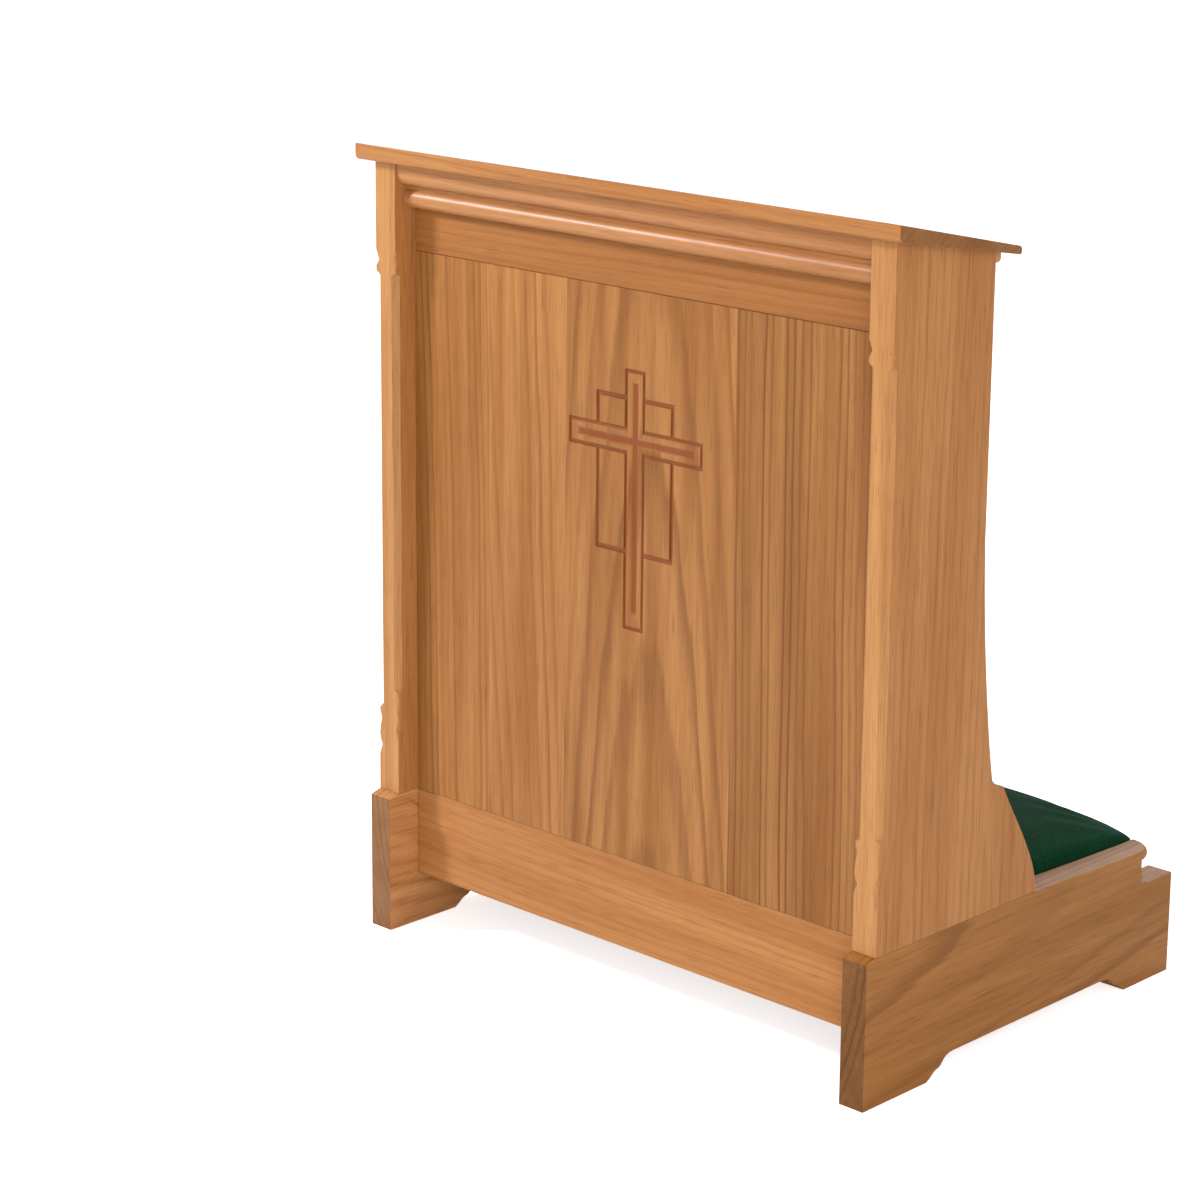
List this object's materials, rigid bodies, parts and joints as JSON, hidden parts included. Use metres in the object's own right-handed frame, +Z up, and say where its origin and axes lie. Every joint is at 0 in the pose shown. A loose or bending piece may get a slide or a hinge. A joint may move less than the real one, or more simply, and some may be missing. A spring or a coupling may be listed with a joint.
{
  "type": "prie-dieu kneeling desk",
  "caption": "Oak kneeling desk with a sloping top, a front panel carved with a cross, bracket-footed base boards and a padded kneeler.",
  "frame": {"origin": "centre of the base, on the floor under the feet", "axes": "+Z up, -Y out of the carved front panel, +X to the right for someone facing the carved front"},
  "size_m": [0.703, 0.4946, 0.834],
  "materials": {
    "oak_upright": "satin lacquered oak, grain upright",
    "oak_across": "satin lacquered oak, grain along the board's length",
    "oak_front": "satin lacquered oak veneer, grain upright, carved cross",
    "hidden_softwood": "planed softwood, unfinished",
    "plywood": "birch plywood, unfinished",
    "green_cloth": "close woven dark green upholstery cloth, matt",
    "screw_steel": "zinc plated steel"
  },
  "bodies": {
    "root": {"bottom_rail": "oak_across", "bottom_rail_left_dowel_1": "hidden_softwood", "bottom_rail_left_dowel_2": "hidden_softwood", "bottom_rail_right_dowel_1": "hidden_softwood", "bottom_rail_right_dowel_2": "hidden_softwood", "crown_moulding": "oak_across", "desk_rear_bead": "oak_across", "desk_rear_rail": "oak_across", "desk_rear_rail_left_dowel_1": "hidden_softwood", "desk_rear_rail_left_dowel_2": "hidden_softwood", "desk_rear_rail_right_dowel_1": "hidden_softwood", "desk_rear_rail_right_dowel_2": "hidden_softwood", "desk_top": "oak_across", "front_panel": "oak_front", "kneeler_board": "oak_across", "kneeler_pad": "green_cloth", "kneeler_rear_rail": "oak_across", "kneeler_rear_rail_left_dowel_1": "hidden_softwood", "kneeler_rear_rail_right_dowel_1": "hidden_softwood", "left_base_board": "oak_across", "left_base_dowel_1": "hidden_softwood", "left_base_dowel_2": "hidden_softwood", "left_base_dowel_3": "hidden_softwood", "left_desk_cleat": "hidden_softwood", "left_desk_cleat_screw_1": "screw_steel", "left_desk_cleat_screw_2": "screw_steel", "left_desk_screw": "screw_steel", "left_kneeler_cleat": "hidden_softwood", "left_kneeler_cleat_screw_1": "screw_steel", "left_kneeler_cleat_screw_2": "screw_steel", "left_kneeler_screw_1": "screw_steel", "left_kneeler_screw_2": "screw_steel", "left_pad_screw_1": "screw_steel", "left_pad_screw_2": "screw_steel", "left_side_panel": "oak_upright", "pad_board": "plywood", "right_base_board": "oak_across", "right_base_dowel_1": "hidden_softwood", "right_base_dowel_2": "hidden_softwood", "right_base_dowel_3": "hidden_softwood", "right_desk_cleat": "hidden_softwood", "right_desk_cleat_screw_1": "screw_steel", "right_desk_cleat_screw_2": "screw_steel", "right_desk_screw": "screw_steel", "right_kneeler_cleat": "hidden_softwood", "right_kneeler_cleat_screw_1": "screw_steel", "right_kneeler_cleat_screw_2": "screw_steel", "right_kneeler_screw_1": "screw_steel", "right_kneeler_screw_2": "screw_steel", "right_pad_screw_1": "screw_steel", "right_pad_screw_2": "screw_steel", "right_side_panel": "oak_upright", "top_rail": "oak_across", "top_rail_left_dowel_1": "hidden_softwood", "top_rail_left_dowel_2": "hidden_softwood", "top_rail_right_dowel_1": "hidden_softwood", "top_rail_right_dowel_2": "hidden_softwood"}
  },
  "joints": []
}
